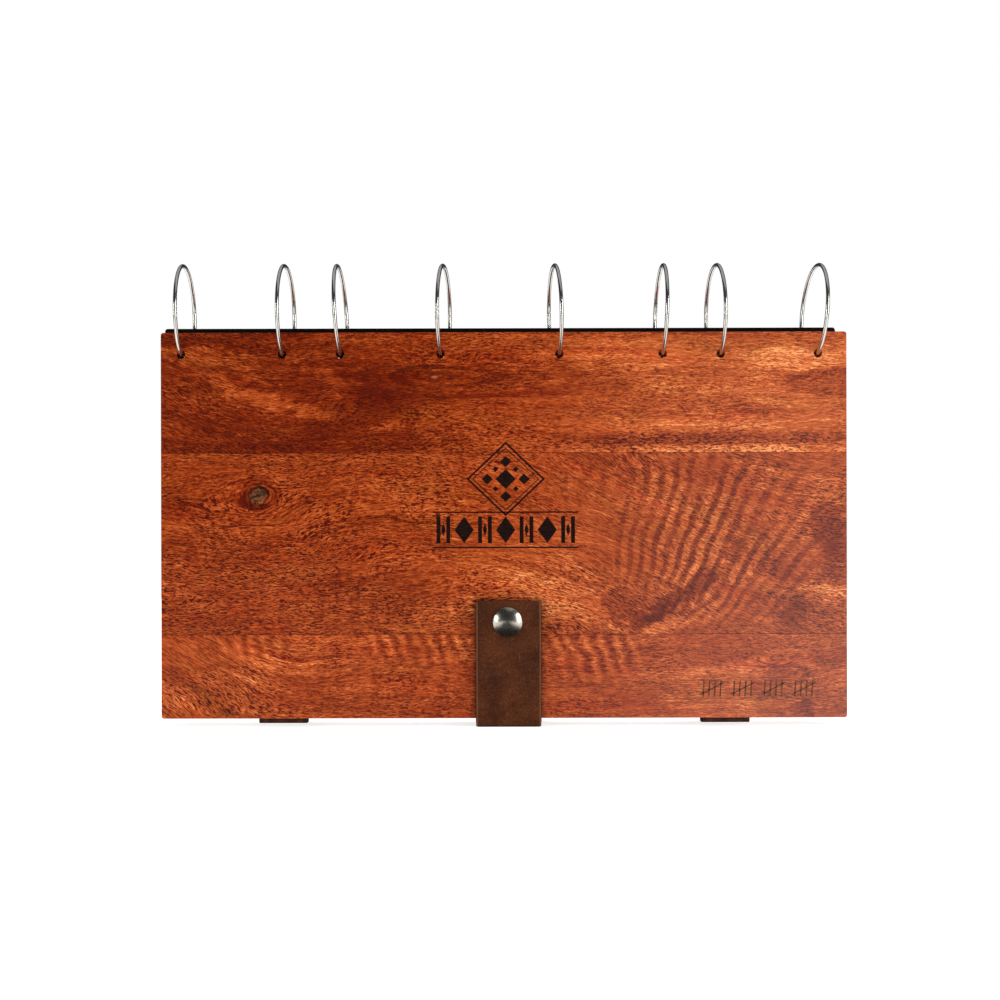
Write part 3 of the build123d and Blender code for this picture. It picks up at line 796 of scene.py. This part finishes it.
for i in range(N - 1):
    for j in range(K):
        jj = (j + 1) % K
        f = bm.faces.new((rings_v[i][j], rings_v[i][jj], rings_v[i + 1][jj], rings_v[i + 1][j]))
        f.material_index = 1 if j in (NX, K - 1) else 0
for r_, ring_v in ((0, rings_v[0]), (1, rings_v[-1])):
    for j in range(NX):
        q = (ring_v[j], ring_v[j + 1], ring_v[K - 2 - j], ring_v[K - 1 - j])
        f = bm.faces.new(q)
        f.material_index = 1
bmesh.ops.recalc_face_normals(bm, faces=bm.faces)
strap = new_mesh("leather_strap", bm, [leather, leather_edge], 40)
bev = strap.modifiers.new("ease", "BEVEL")
bev.width = 0.25 * MM
bev.segments = 2
bev.limit_method = "ANGLE"
bev.angle_limit = math.radians(50)
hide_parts("strap_back_run", "strap_flap")
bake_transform(strap)


# ------------------------------------------------------------------ ring wire
# centre x, turn about Z and lean of each closed hoop
HOOPS = {
    "left_tens": ((-164.02, -0.28, -0.97), (-111.78, -2.69, -0.66)),
    "left_ones": ((-83.41, -1.73, -3.38), (-30.06, -5.65, 0.07)),
    "right_tens": ((27.66, 5.49, -1.33), (82.50, 1.48, 1.93)),
    "right_ones": ((110.81, 3.93, -0.12), (161.92, 3.97, 3.91)),
}
for c, pair in HOOPS.items():
    bm = bmesh.new()
    for hx, yaw, leans in pair:
        place = (Matrix.Translation((hx * MM, 0, 212.1 * MM)) @ Matrix.Rotation(math.radians(yaw), 4, "Z")
                 @ Matrix.Rotation(math.radians(leans), 4, "Y"))
        rows = []
        for i in range(192):
            a = 2 * math.pi * i / 192
            # the butt joint of the wire sits low at the back, as a fine step
            gap = abs((a - math.radians(200) + math.pi) % (2 * math.pi) - math.pi) * 25.0
            r = 0.985 - 0.09 * max(0.0, 1 - gap / 0.45)
            row = []
            for j in range(20):
                b = 2 * math.pi * j / 20
                p = Vector((r * math.sin(b), (25.0 + r * math.cos(b)) * math.cos(a), (25.0 + r * math.cos(b)) * math.sin(a)))
                row.append(bm.verts.new(place @ (p * MM)))
            rows.append(row)
        for i in range(192):
            for j in range(20):
                p, q, jj = rows[i], rows[(i + 1) % 192], (j + 1) % 20
                bm.faces.new((p[j], p[jj], q[jj], q[j]))
    bmesh.ops.recalc_face_normals(bm, faces=bm.faces)
    hoops = new_mesh(f"wire_hoops_{c}", bm, [steel_wire], 60)
    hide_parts(f"rings_{c}")
    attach(hoops, "front_cover")


# ------------------------------------------------------------------ snap cap
def lathe(name, profile, cx, cz, y0, mats, seg=96, dent=None):
    """Solid of revolution about -Y. profile: (radius, distance out from y0)."""
    bm = bmesh.new()
    rows = []
    for r, h in profile:
        if r < 1e-6:
            rows.append([bm.verts.new((cx * MM, (y0 - h) * MM, cz * MM))])
            continue
        row = []
        for i in range(seg):
            a = 2 * math.pi * i / seg
            hh = h + (dent(r, a) if dent else 0.0)
            row.append(bm.verts.new(((cx + r * math.cos(a)) * MM, (y0 - hh) * MM, (cz + r * math.sin(a)) * MM)))
        rows.append(row)
    for p, q in zip(rows, rows[1:]):
        for i in range(seg):
            j = (i + 1) % seg
            if len(p) == 1:
                bm.faces.new((p[0], q[i], q[j]))
            elif len(q) == 1:
                bm.faces.new((p[i], q[0], p[j]))
            else:
                bm.faces.new((p[i], q[i], q[j], p[j]))
    bmesh.ops.recalc_face_normals(bm, faces=bm.faces)
    return new_mesh(name, bm, mats, 38)


cap_lo, cap_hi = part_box("snap_cap")
CX, CZ = (cap_lo[0] + cap_hi[0]) * 500, (cap_lo[2] + cap_hi[2]) * 500
CY = -12.5 - 3.4 - 2.5
prof = [(0, -2.5), (1.9, -2.5), (1.9, 0.0), (6.7, 0.02), (7.25, 0.10), (7.46, 0.32), (7.42, 0.55), (7.22, 0.72)]
DOME_R = (7.05 ** 2 + 2.10 ** 2) / (2 * 2.10)
for i in range(0, 25):
    a = math.asin(7.05 / DOME_R) * (1 - i / 24)
    prof.append((DOME_R * math.sin(a), 2.92 - DOME_R * (1 - math.cos(a))))
prof[-1] = (0, 2.92)
cap = lathe("domed_snap_cap", prof, CX, CZ, CY, [nickel],
            dent=lambda r, a: -0.10 * math.exp(-((r * math.cos(a) + 1.2) ** 2 + (r * math.sin(a) + 1.6) ** 2) / 3.0) if r < 7 else 0.0)
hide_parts("snap_cap")
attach(cap, "strap_flap")

# ------------------------------------------------------------------ floor
bm = bmesh.new()
rim = [bm.verts.new((1.5 * math.cos(2 * math.pi * i / 96), 1.5 * math.sin(2 * math.pi * i / 96) - 0.4, 0.0)) for i in range(96)]
bm.faces.new(rim)
floor = new_mesh("floor", bm, [])
g = G("pale_floor")
n = g.noise(g.comb(g.x * 0.002, g.y * 0.002, g.z), 2, 0.5)
g.set(Base_Color=g.mixc(n * 0.2, (238, 238, 238), (232, 232, 233)), Roughness=0.9)
g.b.inputs["Specular IOR Level"].default_value = 0.05
g.b.inputs["Emission Color"].default_value = (1, 1, 1, 1)
# The floor glows and so lights the board from below. To mirrored rays it is painted dark in front of the board and left
# bright at the sides, which shapes the reflections in the metal.
path = g.t.nodes.new("ShaderNodeLightPath")
mirrored = S(g, path.outputs["Is Glossy Ray"])
off = g.f("ABSOLUTE", g.x - 2.6)
sides = g.ss(off, 75.0, 150.0)
closer = g.ss(g.y, -430.0, -300.0)
middle = g.f("MINIMUM", g.ss(off, 22.0, 84.0, 0.10, 1.0), g.ss(off / (60.0 - g.y), 0.10, 0.38, 0.12, 1.0))
middle = middle * (1.0 - closer) + g.ss(off, 45.0, 150.0, 0.06, 1.0) * closer
near = 1.0 - g.f("MAXIMUM", sides, g.ss(g.y, -60.0, -150.0, 0.08, 0.95) * middle) * g.ss(g.y, -950.0, -600.0, 0.35, 1.0)
g.put(g.b.inputs["Base Color"], g.mixc(mirrored * near, g.mixc(n * 0.2, (238, 238, 238), (232, 232, 233)), (20, 20, 20)))
g.put(g.b.inputs["Emission Strength"], 0.76 - mirrored * (near * 0.35 + 0.40 - sides * 0.35))
floor.data.materials.append(g.m)

# ------------------------------------------------------------------ light
world = bpy.data.worlds.new("studio")
scene.world = world
world.use_nodes = True
wt = world.node_tree
wt.nodes.clear()
wo = wt.nodes.new("ShaderNodeOutputWorld")
lp = wt.nodes.new("ShaderNodeLightPath")


def sky(colour, strength):
    n_ = wt.nodes.new("ShaderNodeBackground")
    n_.inputs[0].default_value = (*colour, 1)
    n_.inputs[1].default_value = strength
    return n_.outputs[0]


def choose(test, no, yes):
    n_ = wt.nodes.new("ShaderNodeMixShader")
    wt.links.new(lp.outputs[test], n_.inputs[0])
    wt.links.new(no, n_.inputs[1])
    wt.links.new(yes, n_.inputs[2])
    return n_.outputs[0]


# white where it is seen, even and soft where it lights, dim where it is mirrored
wt.links.new(choose("Is Camera Ray", choose("Is Glossy Ray", sky((1, 1, 1), 0.25), sky((0.9, 0.95, 1), 0.045)),
                    sky((1, 1, 1), 1.0)), wo.inputs[0])


def area(name, loc, aim, size_, power, colour=(1, 1, 1)):
    li = bpy.data.lights.new(name, "AREA")
    li.shape = "RECTANGLE"
    li.size, li.size_y = size_
    li.energy = power
    li.color = colour
    o = bpy.data.objects.new(name, li)
    scene.collection.objects.link(o)
    o.location = loc
    o.rotation_euler = (Vector(aim) - Vector(loc)).to_track_quat("-Z", "Y").to_euler()
    return o


area("key", (1.35, -0.95, 0.46), (0, 0, 0.10), (0.42, 0.9), 12.0, (1.0, 0.985, 0.96))
area("fill", (-1.30, -0.95, 0.36), (0, 0, 0.10), (0.35, 0.6), 5.8, (0.97, 0.99, 1.0))
area("top", (0.1, -0.5, 1.5), (0, 0, 0.1), (1.2, 0.7), 8).visible_glossy = False
area("back", (-0.7, 1.4, 1.0), (0, 0, 0.12), (1.0, 0.8), 16).visible_glossy = False
area("overhead", (0.1, 0.1, 1.3), (0, 0, 0.15), (2.2, 1.6), 5.0).visible_diffuse = False
